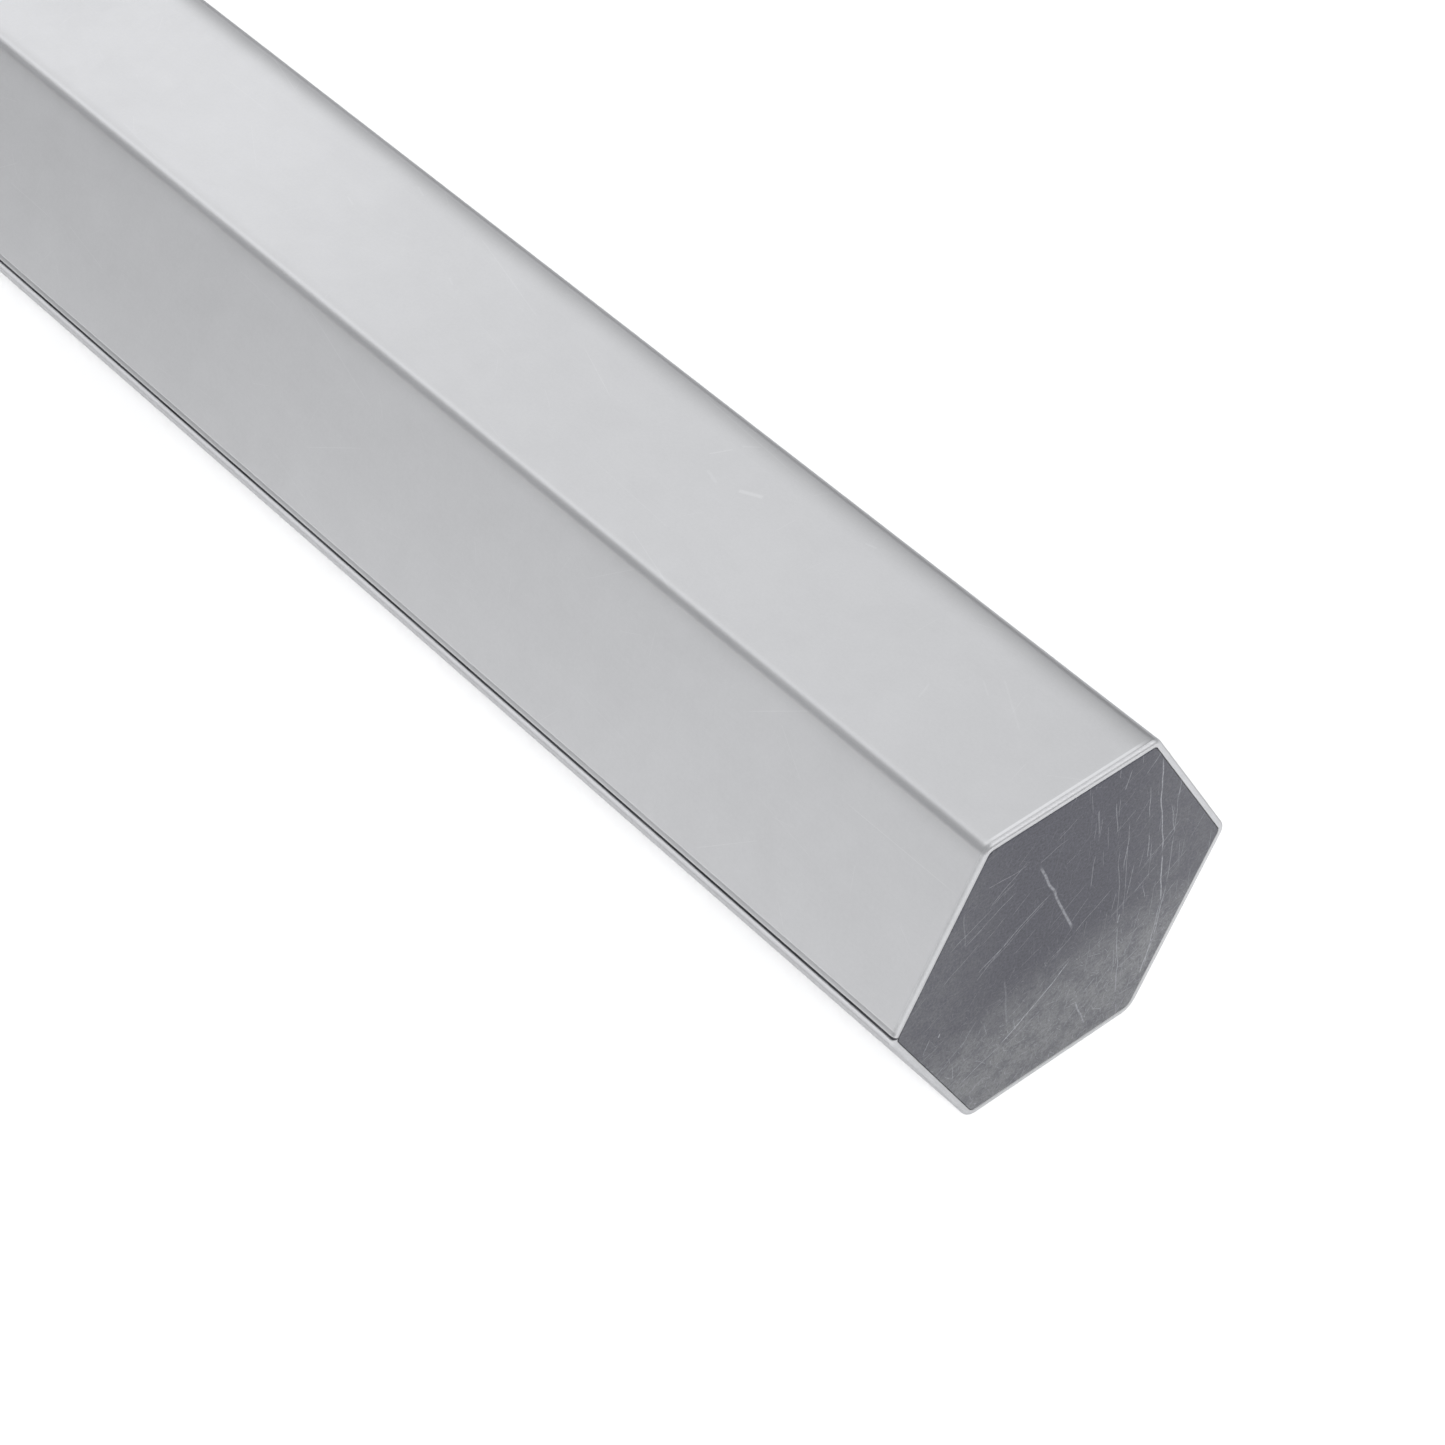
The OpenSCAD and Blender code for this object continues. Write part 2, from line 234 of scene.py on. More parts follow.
def build_shell():
    profile = shell_profile()
    girth = girths(hexagon(FLATS, SHELL_RADII))
    loops = []
    for u, inset, rim in profile:
        groove = SEAM_DEEP if inset < SEAM_INSET else 0.0
        points = hexagon(FLATS, SHELL_RADII, inset, groove)
        if inset < RIM_DEEP and not rim and DIP_FROM_MOUTH < u < LENGTH - DIP_FROM_END:
            moved = []
            for (y, z), s in zip(points, girth):
                dip = DIP + DIP_CHANGE * noise.noise(Vector((u / DIP_ALONG, s / DIP_ROUND, DIP_PATTERN)))
                reach = math.hypot(y, z)
                moved.append((y * (1 - dip / reach), z * (1 - dip / reach)))
            points = moved
        loops.append(place(X_MOUTH + u * MM, points))
    shell = solid("shell_skin", loops, 50, cyclic=True)
    finish_shell(shell.data, profile, girth)
    return shell


def finish_shell(mesh, profile, girth):
    """Where each face corner lies on the flat sheet and its painted bend shading, and each face's finish.
    """
    n = len(girth) - 1
    lay = mesh.attributes.new("lay", "FLOAT_VECTOR", "CORNER")
    bend_shading = painted_bend_shading(SHELL_RADII)
    for poly in mesh.polygons:
        around = [mesh.loops[i].vertex_index % n for i in poly.loop_indices]
        along = [mesh.loops[i].vertex_index // n for i in poly.loop_indices]
        wraps = max(around) - min(around) > 1
        for i, j, k in zip(poly.loop_indices, around, along):
            s = girth[-1] if wraps and j == 0 else girth[j]
            lay.data[i].vector = (profile[k][0], s, bend_shading[j])
        in_seam = all(SEAM_BED[0] <= j <= SEAM_BED[1] for j in around)
        if in_seam and max(profile[k][1] for k in along) < SEAM_INSET:
            poly.material_index = SEAM_SLOT
        elif all(profile[k][2] for k in along):
            poly.material_index = RIM_SLOT


# ---------------------------------------------------------------- end plate


def build_end_plate():
    flats = FLATS - 2 * WALL
    radii = [2.6, 2.8, 3.2, 3.0, 3.0, 4.0]
    gap, soft, recess = 0.05, 0.28, 0.03
    back, front = X_END - PLATE * MM, X_END - recess * MM
    rows = [(back, 0.4), (back + 0.4 * MM, gap), (front - soft * MM, gap)]
    rows += [(front - soft * MM * (1 - math.sin(t)), gap + soft * (1 - math.cos(t))) for t in quarter(4)]
    rows += [(front, 1.2), (front, 8.0), (front, 20.0), (front, 34.0)]
    return solid("end_disc", [place(x, hexagon(flats, radii, inset)) for x, inset in rows], 50)


# ---------------------------------------------------------------- liner


def build_liner():
    outer = FLATS - 2 * WALL
    inner = outer - 2 * LINER_WALL
    plate = X_END - PLATE * MM
    neck = X_MOUTH + RING * MM
    sharp_bend, soft_bend = [2.0] * 6, [8.0] * 6
    loops = [place(plate, hexagon(outer, sharp_bend, 0.5)),
             place(plate - 0.5 * MM, hexagon(outer, sharp_bend, 0.02)),
             place(neck + 0.4 * MM, hexagon(outer, sharp_bend, 0.02)),
             place(neck + 0.02 * MM, hexagon(outer, sharp_bend, 0.4))]

    def ring(u, r):
        return place(X_MOUTH + u * MM, hexagon(outer, sharp_bend, radial=r))

    # the neck: out to the mouth against the ring, and back in along its own opening
    loops += [ring(12.02, 38.0), ring(11.0, 37.97), ring(0.9, 37.97), ring(0.25, 37.7),
              ring(0.0, 37.1), ring(0.0, 35.4), ring(0.25, 34.6), ring(0.9, 34.1), ring(2.0, 34.0),
              ring(10.0, 34.0), ring(16.6, 34.0), ring(17.6, 34.4), ring(18.0, 35.2)]
    # the bag inside, from its shoulder to its rounded bottom
    shoulder, rounding = 19.4, 3
    inside = [(18.0, 1.6), (18.4, 0.5), (shoulder, 0.0)]
    bottom = (plate - X_MOUTH) / MM - LINER_WALL
    inside += [(shoulder + (bottom - rounding - shoulder) * i / 12, 0.0) for i in range(1, 12)]
    inside += [(bottom - rounding + rounding * math.sin(t), rounding * (1 - math.cos(t)))
               for t in [0.0] + quarter(5)]
    inside.append((bottom, 20))
    loops += [place(X_MOUTH + u * MM, hexagon(inner, soft_bend, inset)) for u, inset in inside]
    return solid("liner_bag", loops, 50)


# ---------------------------------------------------------------- studs and nuts


def centre(node):
    low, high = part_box(node)
    return (low + high) / 2


STUDS = [centre(f"thumb_nut_{n}") for n in range(1, 7)]
# the M6 thread, a millimetre a turn: crest radius, depth, points round it and rings a turn
THREAD_TOP, THREAD_DEEP, THREAD_SIDES, RINGS_A_TURN = 2.985, 0.5, 18, 8
# crest and flank as shares of half the pitch, how long the thread takes to reach its full depth,
# and the length and slope of the stud's chamfered tip
CREST, FLANK, RUN_IN, TIP, TIP_SLOPE = 0.12, 0.76, 1.5, 0.9, 1.05
# the nut's flutes: how many, how deep, and half their width in degrees
FLUTES, FLUTE_DEEP, FLUTE_HALF = 18, 0.7, 4.6
# places within each flute's share of the turn, in degrees
FLUTE_AT = [0.0, 2.3, 4.2, 5.0, 10.0, 15.0, 15.8, 17.7]
# the flutes cut only what is wider than the collar
NUT_RADIUS, NUT_COLLAR = 8.99, 7
# how far out from the washer, and radius, from the bore round the outside and back to it
NUT_PROFILE = [
    (0.5, 3.08), (0.12, 3.35), (0.0, 3.7), (0.0, 5.5), (0.1, 5.82), (0.4, 5.98), (2.5, 5.98),
    (2.8, 6.1), (2.98, 6.5), (3.0, 7.6), (3.06, 8.1), (3.3, 8.45), (3.72, 8.86), (4.0, 8.98),
    (4.6, 8.99), (8.4, 8.99), (9.0, 8.98), (9.28, 8.86), (9.7, 8.45), (9.94, 8.1), (10.0, 7.7),
    (10.0, 7.1), (9.9, 6.95), (9.78, 6.7), (9.78, 6.3), (9.9, 6.05), (10.0, 5.9), (10.0, 4.3),
    (9.88, 4.0), (9.3, 3.35), (8.9, 3.1)]
# how far out from the lid, and radius, in the same order
WASHER_PROFILE = [
    (0.25, 3.22), (0.05, 3.3), (0.0, 3.5), (0.0, 5.5), (0.03, 7.0), (0.12, 7.3), (0.35, 7.46),
    (0.8, 7.49), (1.3, 7.46), (1.5, 7.32), (1.6, 7.05), (1.6, 5.0), (1.58, 3.6), (1.4, 3.3), (1.2, 3.22)]
WASHER_SIDES = 56


def ring_at(x, c, radii):
    """A ring about c at x, with one point for each radius in millimetres."""
    turn = 2 * math.pi
    n = len(radii)
    return [Vector((x, c.y + r * MM * math.cos(turn * i / n), c.z + r * MM * math.sin(turn * i / n)))
            for i, r in enumerate(radii)]


def thread_radii(u, free):
    """Radii round a thread u millimetres out of the ring, on a stud that stands out by free."""
    limit = THREAD_TOP - max(0.0, u - (free - TIP)) * TIP_SLOPE
    fade = min(1.0, u / RUN_IN)
    radii = []
    for j in range(THREAD_SIDES):
        # seen from the free end, the crest turns clockwise as it comes out: a left-handed thread,
        # although the nuts' joints turn as on a right-handed one
        t = (u - j / THREAD_SIDES) % 1.0
        tooth = min(max((abs(2 * t - 1) - CREST) / FLANK, 0.0), 1.0)
        radii.append(min(THREAD_TOP - THREAD_DEEP * tooth * fade, limit))
    return radii


def build_studs():
    low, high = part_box("lid_studs")
    free = (X_MOUTH - low.x) / MM
    count = int(free * RINGS_A_TURN)
    parts = []
    for c in STUDS:
        rings = [ring_at(high.x, c, [2.7] * THREAD_SIDES),
                 ring_at(high.x - 0.3 * MM, c, [3.0] * THREAD_SIDES),
                 ring_at(X_MOUTH, c, [3.0] * THREAD_SIDES)]
        for i in range(1, count + 1):
            u = free * i / count
            rings.append(ring_at(X_MOUTH - u * MM, c, thread_radii(u, free)))
        parts.append(skin(rings, cyclic=False))
    return joined("stud_set", parts, 70)


def build_nut(n):
    node = f"thumb_nut_{n}"
    x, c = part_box(node)[1].x, centre(node)
    share = 360 // FLUTES
    angles = [share * g + o for g in range(FLUTES) for o in FLUTE_AT]
    cut = [max(0.0, 1 - min(a % share, share - a % share) / FLUTE_HALF) * FLUTE_DEEP for a in angles]
    rings = []
    for u, r in NUT_PROFILE:
        radii = [min(r, NUT_RADIUS - k) for k in cut] if r > NUT_COLLAR else [r] * len(cut)
        ring = []
        for a, rr in zip(angles, radii):
            t = math.radians(a)
            ring.append(Vector((x - u * MM, c.y - rr * MM * math.cos(t), c.z + rr * MM * math.sin(t))))
        rings.append(ring)
    return solid(f"nut_{n}_turned", rings, 32, cyclic=True)


def build_washer(n):
    node = f"washer_{n}"
    x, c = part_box(node)[1].x, centre(node)
    rings = [ring_at(x - u * MM, c, [r] * WASHER_SIDES) for u, r in WASHER_PROFILE]
    return solid(f"washer_{n}_stamped", rings, 40, cyclic=True)


# ---------------------------------------------------------------- folding pull

# the rod's radius and points round it, and the radii of its bends at the hinge and at the grip
PULL_RADIUS, PULL_SIDES = 2.0, 20
PULL_TURN, PULL_CORNER = 4.0, 6.0


def pull_path(half, drop):
    """The middle of the bent rod, (y, z) below its hinge: out of one eye, down, across and back up."""
    turn, corner = PULL_TURN, PULL_CORNER
    path = [(7.6, 0.0), (7.75, 0.0), (8.0, 0.0), (9.5, 0.0), (11.5, 0.0)]
    path += [(half - turn + turn * math.sin(t), -turn + turn * math.cos(t)) for t in [0.0] + quarter(8)]
    path += [(half, -turn - (drop - turn - corner) * i / 6) for i in range(1, 6)]
    path += [(half - corner + corner * math.cos(t), -drop + corner - corner * math.sin(t))
             for t in [0.0] + quarter(10)]
    path += [((half - corner) * (1 - i / 5), -drop) for i in range(1, 5)]
    return path + [(0.0, -drop)] + [(-y, z) for y, z in reversed(path)]


def build_pull():
    low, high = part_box("folding_pull")
    x = (low.x + high.x) / 2
    top = high.z - PULL_RADIUS * MM
    path = pull_path((high.y - low.y) / 2 / MM - PULL_RADIUS, (high.z - low.z) / MM - 2 * PULL_RADIUS)
    # the rod's radius along it, with both ends rounded off
    sizes = [1.55, 1.85] + [1.995] * (len(path) - 4) + [1.85, 1.55]
    rings = []
    for i, ((y, z), r) in enumerate(zip(path, sizes)):
        y0, z0 = path[max(i - 1, 0)]
        y1, z1 = path[min(i + 1, len(path) - 1)]
        length = math.hypot(y1 - y0, z1 - z0)
        sy, sz = -(z1 - z0) / length, (y1 - y0) / length
        ring = []
        for j in range(PULL_SIDES):
            a = 2 * math.pi * j / PULL_SIDES
            ring.append(Vector((x + r * MM * math.cos(a), (y + r * math.sin(a) * sy) * MM,
                                top + (z + r * math.sin(a) * sz) * MM)))
        rings.append(ring)
    return solid("pull_rod", rings, 40)


# ---------------------------------------------------------------- materials


class Net:
    """Short names for building a material from nodes."""

    def __init__(self, name):
        self.mat = bpy.data.materials.new(name)
        self.mat.use_nodes = True
        self.tree = self.mat.node_tree
        self.tree.nodes.clear()
        out = self.tree.nodes.new("ShaderNodeOutputMaterial")
        self.shader = self.tree.nodes.new("ShaderNodeBsdfPrincipled")
        self.tree.links.new(self.shader.outputs[0], out.inputs[0])
        position = self.tree.nodes.new("ShaderNodeTexCoord")
        self.mm = self.vec("MULTIPLY", position.outputs["Object"], (1000, 1000, 1000))

    def put(self, socket, value):
        if isinstance(value, bpy.types.NodeSocket):
            self.tree.links.new(value, socket)
        else:
            socket.default_value = value

    def math(self, op, a, b=0.0, c=0.0):
        n = self.tree.nodes.new("ShaderNodeMath")
        n.operation = op
        for socket, value in zip(n.inputs, (a, b, c)):
            self.put(socket, value)
        return n.outputs[0]

    def vec(self, op, a, b=(0, 0, 0)):
        n = self.tree.nodes.new("ShaderNodeVectorMath")
        n.operation = op
        self.put(n.inputs[0], a)
        self.put(n.inputs[1], b)
        return n.outputs["Value"] if op in ("LENGTH", "DOT_PRODUCT") else n.outputs["Vector"]

    def split(self, v):
        n = self.tree.nodes.new("ShaderNodeSeparateXYZ")
        self.put(n.inputs[0], v)
        return n.outputs

    def join(self, x, y, z=0.0):
        n = self.tree.nodes.new("ShaderNodeCombineXYZ")
        for socket, value in zip(n.inputs, (x, y, z)):
            self.put(socket, value)
        return n.outputs[0]

    def lay(self):
        """The shell's own attribute: place along the barrel, place round it, and its painted bend shading.
        """
        n = self.tree.nodes.new("ShaderNodeAttribute")
        n.attribute_name = "lay"
        return self.split(n.outputs["Vector"])

    def noise(self, v, scale, detail=3.0, rough=0.5, distortion=0.0, output="Fac"):
        n = self.tree.nodes.new("ShaderNodeTexNoise")
        self.put(n.inputs["Vector"], v)
        for key, value in (("Scale", scale), ("Detail", detail), ("Roughness", rough),
                           ("Distortion", distortion)):
            n.inputs[key].default_value = value
        return n.outputs[output]

    def span(self, value, low, high, to_low=0.0, to_high=1.0):
        """value from low to high, eased, becomes to_low to to_high."""
        n = self.tree.nodes.new("ShaderNodeMapRange")
        n.interpolation_type = "SMOOTHSTEP"
        for socket, v in zip(n.inputs, (value, low, high, to_low, to_high)):
            self.put(socket, v)
        return n.outputs[0]

    def add(self, a, b):
        return self.math("ADD", a, b)

    def times(self, a, b):
        return self.math("MULTIPLY", a, b)

    def mix(self, factor, a, b, kind="MIX"):
        n = self.tree.nodes.new("ShaderNodeMix")
        n.data_type, n.blend_type = "RGBA", kind
        self.put(n.inputs[0], factor)
        self.put(n.inputs[6], a)
        self.put(n.inputs[7], b)
        return n.outputs[2]

    def shade(self, colour, gain):
        """colour times gain, a number."""
        return self.mix(1.0, colour, self.join(gain, gain, gain), "MULTIPLY")

    def marks(self, flat, cell, length, width, share, seed, heading=0.0, spread=180.0):
        """Straight random scratches, at most one to a cell, in a flat pattern measured in millimetres.

        share of them are kept, and they lie within spread degrees of heading."""
        moved = self.vec("ADD", self.vec("MULTIPLY", flat, (1 / cell, 1 / cell, 0)),
                         (seed * 7.31, seed * 3.77, 0))
        cells = self.tree.nodes.new("ShaderNodeTexVoronoi")
        cells.voronoi_dimensions, cells.feature = "2D", "F1"
        cells.inputs["Scale"].default_value = 1.0
        cells.inputs["Randomness"].default_value = 1.0
        self.put(cells.inputs["Vector"], moved)
        pick = self.split(cells.outputs["Color"])
        away = self.vec("SUBTRACT", moved, cells.outputs["Position"])
        turn = self.tree.nodes.new("ShaderNodeVectorRotate")
        turn.rotation_type = "Z_AXIS"
        self.put(turn.inputs["Vector"], away)
        angle = self.math("MULTIPLY_ADD", pick[0], math.radians(2 * spread),
                          math.radians(-heading - spread))
        self.put(turn.inputs["Angle"], angle)
        x, y, _ = self.split(turn.outputs[0])
        half, thin = length / 2 / cell, width / cell
        across = self.span(self.math("ABSOLUTE", y), thin * 0.5, thin * 0.15)
        along = self.span(self.math("ABSOLUTE", x), half, half * 0.55)
        kept = self.math("LESS_THAN", pick[1], share)
        strength = self.math("MULTIPLY_ADD", pick[2], 0.7, 0.3)
        return self.times(self.times(across, along), self.times(kept, strength))

    def stroke(self, flat, a, b, width, strength):
        """One scratch from a to b, in the flat pattern's millimetres."""
        length = math.hypot(b[0] - a[0], b[1] - a[1])
        ux, uy = (b[0] - a[0]) / length, (b[1] - a[1]) / length
        middle = ((a[0] + b[0]) / 2, (a[1] + b[1]) / 2, 0)
        away = self.vec("SUBTRACT", flat, middle)
        along = self.math("ABSOLUTE", self.vec("DOT_PRODUCT", away, (ux, uy, 0)))
        across = self.math("ABSOLUTE", self.vec("DOT_PRODUCT", away, (-uy, ux, 0)))
        line = self.span(across, width * 0.5, width * 0.12, 0.0, strength)
        return self.times(line, self.span(along, length / 2, length / 2 * 0.8))

    def most(self, values):
        """The largest of several values."""
        total = values[0]
        for v in values[1:]:
            total = self.math("MAXIMUM", total, v)
        return total

    def bump(self, height, distance, strength):
        n = self.tree.nodes.new("ShaderNodeBump")
        n.inputs["Strength"].default_value = strength
        n.inputs["Distance"].default_value = distance
        self.put(n.inputs["Height"], height)
        return n.outputs[0]

    def finish(self, colour, metallic, roughness, normal):
        self.put(self.shader.inputs["Base Color"], colour)
        self.shader.inputs["Metallic"].default_value = metallic
        self.put(self.shader.inputs["Roughness"], roughness)
        self.put(self.shader.inputs["Normal"], normal)
        return self.mat


# scratches on the top flat: how far back from the closed end they start, girth there, how far back
# they end, girth there, width and strength
SHEET_NICKS = [
    (136.0, 79.4, 129.5, 76.0, 2.0, 0.9), (151.9, 76.0, 149.0, 69.7, 0.7, 0.7),
    (148.5, 67.4, 145.0, 63.6, 0.7, 0.5), (147.4, 80.3, 141.6, 81.8, 1.3, 0.45),
    (99.5, 67.6, 96.0, 66.4, 0.8, 0.5), (40.6, 73.8, 23.9, 83.9, 0.8, 0.28),
    (43.4, 78.2, 38.0, 81.4, 0.8, 0.3), (50.8, 89.4, 48.8, 95.0, 0.9, 0.4),
    (254.0, 83.4, 250.5, 84.6, 0.9, 0.4), (301.0, 83.2, 296.5, 84.4, 0.9, 0.4),
    (292.0, 65.2, 287.0, 66.8, 0.8, 0.35)]
# girth of the scored line, and the width of the strip from it to the seam
SCORE_AT, STRIP_WIDE = 170.8, 1.6
# girths of the top flat, and of the stretch of rim that gets a painted highlight
TOP_FLAT, HIGHLIGHT_RIM = (61, 117), (58, 172)
# how far back from the closed end the painted highlight along the lip is brightest
LIP_HIGHLIGHT_AT = 1.75
# the pale metal's reflections are dimmer at grazing angles
EDGE_TINT = (0.5, 0.5, 0.51, 1)


def shell_metal():
    """Pale satin sheet: soft clouds of haze, grain along the barrel, faint scratches and nicks, and
    painted light and shade.
    """
    net = Net("satin_sheet")
    x, s, bend_shading = net.lay()
    flat = net.join(x, s)
    cloud = net.noise(net.vec("MULTIPLY", net.mm, (0.6, 1, 1)), 0.018, 5.0, 0.62, distortion=0.6)
    patch = net.noise(net.mm, 0.075, 4.0, 0.6)
    grain = net.noise(net.vec("MULTIPLY", flat, (0.03, 4.0, 0)), 1.0, 2.0, 0.5)
    fine = net.noise(net.mm, 1.1, 3.0, 0.65)
    faint = net.most([net.marks(flat, 34, 26, 0.32, 0.55, 1, 0, 40),
                      net.marks(flat, 17, 9, 0.22, 0.4, 2, 20, 90),
                      net.marks(flat, 60, 48, 0.35, 0.5, 3, 8, 10)])
    tiny = net.marks(flat, 5, 2.4, 0.16, 0.35, 4, 0, 90)
    nicks = net.most([net.stroke(flat, (LENGTH - back, a), (LENGTH - front, b), width, strength)
                      for back, a, front, b, width, strength in SHEET_NICKS])
    # painted shade: the strip from the scored line to the seam is a little darker, and the line itself
    # darker still
    broken = net.span(net.noise(flat, 0.09, 2.0, 0.6), 0.3, 0.6, 0.35, 1.0)
    off_score = net.math("ABSOLUTE", net.math("SUBTRACT", s, SCORE_AT))
    score_shade = net.times(net.span(off_score, 0.26, 0.06), broken)
    strip_shade = net.times(net.span(s, SCORE_AT - 0.3, SCORE_AT + 0.1),
                      net.span(s, SCORE_AT + STRIP_WIDE, SCORE_AT + STRIP_WIDE - 0.3))
    gain = net.add(net.span(cloud, 0.35, 0.68, -0.022, 0.022), net.span(patch, 0.3, 0.7, -0.012, 0.012))
    gain = net.add(gain, net.span(grain, 0.2, 0.8, -0.012, 0.012))
    gain = net.add(gain, net.span(fine, 0.25, 0.75, -0.012, 0.012))
    gain = net.add(gain, net.times(faint, 0.05))
    gain = net.add(gain, net.times(tiny, 0.03))
    gain = net.add(net.add(gain, 1.0), net.times(nicks, 0.10))
    # less the painted shade on the scored line and on the strip
    gain = net.math("SUBTRACT", gain, net.add(net.times(score_shade, 0.16), net.times(strip_shade, 0.07)))
    # painted shade just past each bend and painted highlight across the crease; on the top flat, a painted
    # highlight along the lip at the closed end, and a painted sheen, mottled by haze, growing towards the
    # lid
    top = net.times(net.span(s, TOP_FLAT[0], TOP_FLAT[0] + 6), net.span(s, TOP_FLAT[1], TOP_FLAT[1] - 5))
    lip = net.span(net.math("ABSOLUTE", net.math("SUBTRACT", x, LENGTH - LIP_HIGHLIGHT_AT)), 0.6, 0.2)
    # far: painted sheen on the top flat, brighter towards the lid, mottled by the haze clouds
    far = net.times(net.span(x, 330, 90), net.span(cloud, 0.3, 0.6, 0.75, 1.0))
    # the top flat's painted highlight on the lip and its painted sheen towards the lid
    bright = net.math("MULTIPLY_ADD", lip, 0.27, net.times(far, 0.16))
    gain = net.math("MULTIPLY_ADD", top, bright, net.math("SUBTRACT", gain, bend_shading))
    colour = net.shade((0.655, 0.658, 0.67, 1), gain)
    rough = net.add(net.span(cloud, 0.3, 0.7, 0.39, 0.43), net.span(grain, 0.2, 0.8, -0.025, 0.025))
    rough = net.add(rough, net.times(faint, -0.06))
    height = net.add(net.times(grain, 0.35), net.times(fine, 0.35))
    height = net.math("SUBTRACT", height, net.times(net.most([faint, nicks]), 0.8))
    net.shader.inputs["Specular Tint"].default_value = EDGE_TINT
    return net.finish(colour, 1.0, rough, net.bump(height, 0.00002, 0.35))


def rim_metal():
    """The cut and rounded edge of the sheet at the closed end."""
    net = Net("cut_edge")
    fine = net.noise(net.mm, 1.6, 3.0, 0.6)
    wear = net.noise(net.mm, 0.22, 3.0, 0.6)
    x, s, _ = net.lay()
    # the rounding gets a painted highlight along the top and left flats
    rim_highlight = net.times(net.span(x, LENGTH - 0.05, LENGTH - 0.35, 0.0, 0.22),
                     net.times(net.span(s, HIGHLIGHT_RIM[0], HIGHLIGHT_RIM[0] + 4),
                               net.span(s, HIGHLIGHT_RIM[1], HIGHLIGHT_RIM[1] - 4)))
    gain = net.add(net.span(fine, 0.3, 0.7, 0.97, 1.03), net.span(wear, 0.3, 0.7, -0.04, 0.04))
    gain = net.add(gain, rim_highlight)
    colour = net.shade((0.63, 0.633, 0.645, 1), gain)
    net.shader.inputs["Specular Tint"].default_value = EDGE_TINT
    return net.finish(colour, 1.0, net.span(wear, 0.3, 0.7, 0.4, 0.48), net.bump(fine, 0.00003, 0.3))


def painted_seam_shade():
    """Near-black in the seam where the sheet's two edges meet: painted shade in its groove, mottled."""
    net = Net("seam_painted_shade")
    seam_shade = net.noise(net.vec("MULTIPLY", net.mm, (0.08, 1, 1)), 1.0, 3.0, 0.6)
    colour = net.mix(net.span(seam_shade, 0.35, 0.65), (0.04, 0.04, 0.045, 1), (0.085, 0.085, 0.094, 1))
    net.shader.inputs["Specular IOR Level"].default_value = 0.1
    return net.finish(colour, 0.0, net.span(seam_shade, 0.3, 0.7, 0.6, 0.8), net.bump(seam_shade, 0.00005, 0.4))


# scratches on the closed end, from and to (y, z) off its middle, with width and strength
PLATE_STROKES = [
    ((-10.5, 31.8), (3.6, -1.2), 1.15, 0.5), ((4.3, -12.7), (-19.5, -28.7), 0.5, 0.85),
    ((-19.5, -28.7), (-34.4, -34.8), 0.45, 0.5), ((-5.1, 17.9), (-29.4, 5.4), 0.45, 0.5),
    ((-6.5, 16.3), (-25.6, 6.0), 0.35, 0.35), ((-14.1, 34.6), (-28.1, 35.5), 0.35, 0.4),
    ((-17.6, 27.3), (-34.3, 18.5), 0.35, 0.4), ((16.5, 4.6), (4.3, -3.5), 0.35, 0.45),
    ((4.3, -3.5), (-3.0, -8.5), 0.35, 0.3), ((30.4, 43.5), (34.3, 5.2), 0.6, 0.6),
    ((34.3, 5.2), (35.6, -14.2), 0.6, 0.65), ((35.6, -14.2), (32.1, -35.6), 0.5, 0.5),
    ((39.0, 29.1), (37.6, 10.3), 0.4, 0.35), ((37.6, 10.3), (37.1, -7.8), 0.4, 0.4),
    ((37.1, -7.8), (34.6, -25.9), 0.5, 0.5), ((34.6, -25.9), (30.4, -37.3), 0.6, 0.6),
    ((15.4, 36.8), (16.2, 24.7), 0.4, 0.45), ((18.2, 18.0), (20.5, -10.7), 0.4, 0.35),
    ((20.5, -10.7), (22.6, -39.4), 0.5, 0.45), ((20.2, 27.4), (22.7, -9.9), 0.35, 0.35),
    ((7.3, -31.6), (11.8, -43.2), 0.7, 0.5), ((13.4, -27.0), (9.2, -29.7), 0.4, 0.45),
    ((29.2, -25.9), (21.5, -29.0), 0.35, 0.4), ((-19.6, -3.1), (-17.2, -23.7), 0.9, 0.18),
    ((-40.6, -7.6), (-41.2, -8.8), 0.7, 0.8), ((21.2, -7.5), (20.7, -10.4), 0.8, 0.6),
    ((20.0, 45.9), (18.2, 39.3), 0.6, 0.4), ((9.0, 38.4), (9.8, 29.0), 0.7, 0.3),
    ((-34.7, 31.3), (-33.9, 18.1), 0.5, 0.2), ((-0.7, 34.4), (-10.6, 32.2), 0.35, 0.3),
    ((-44.3, -7.3), (-46.5, -12.2), 0.4, 0.45),
]


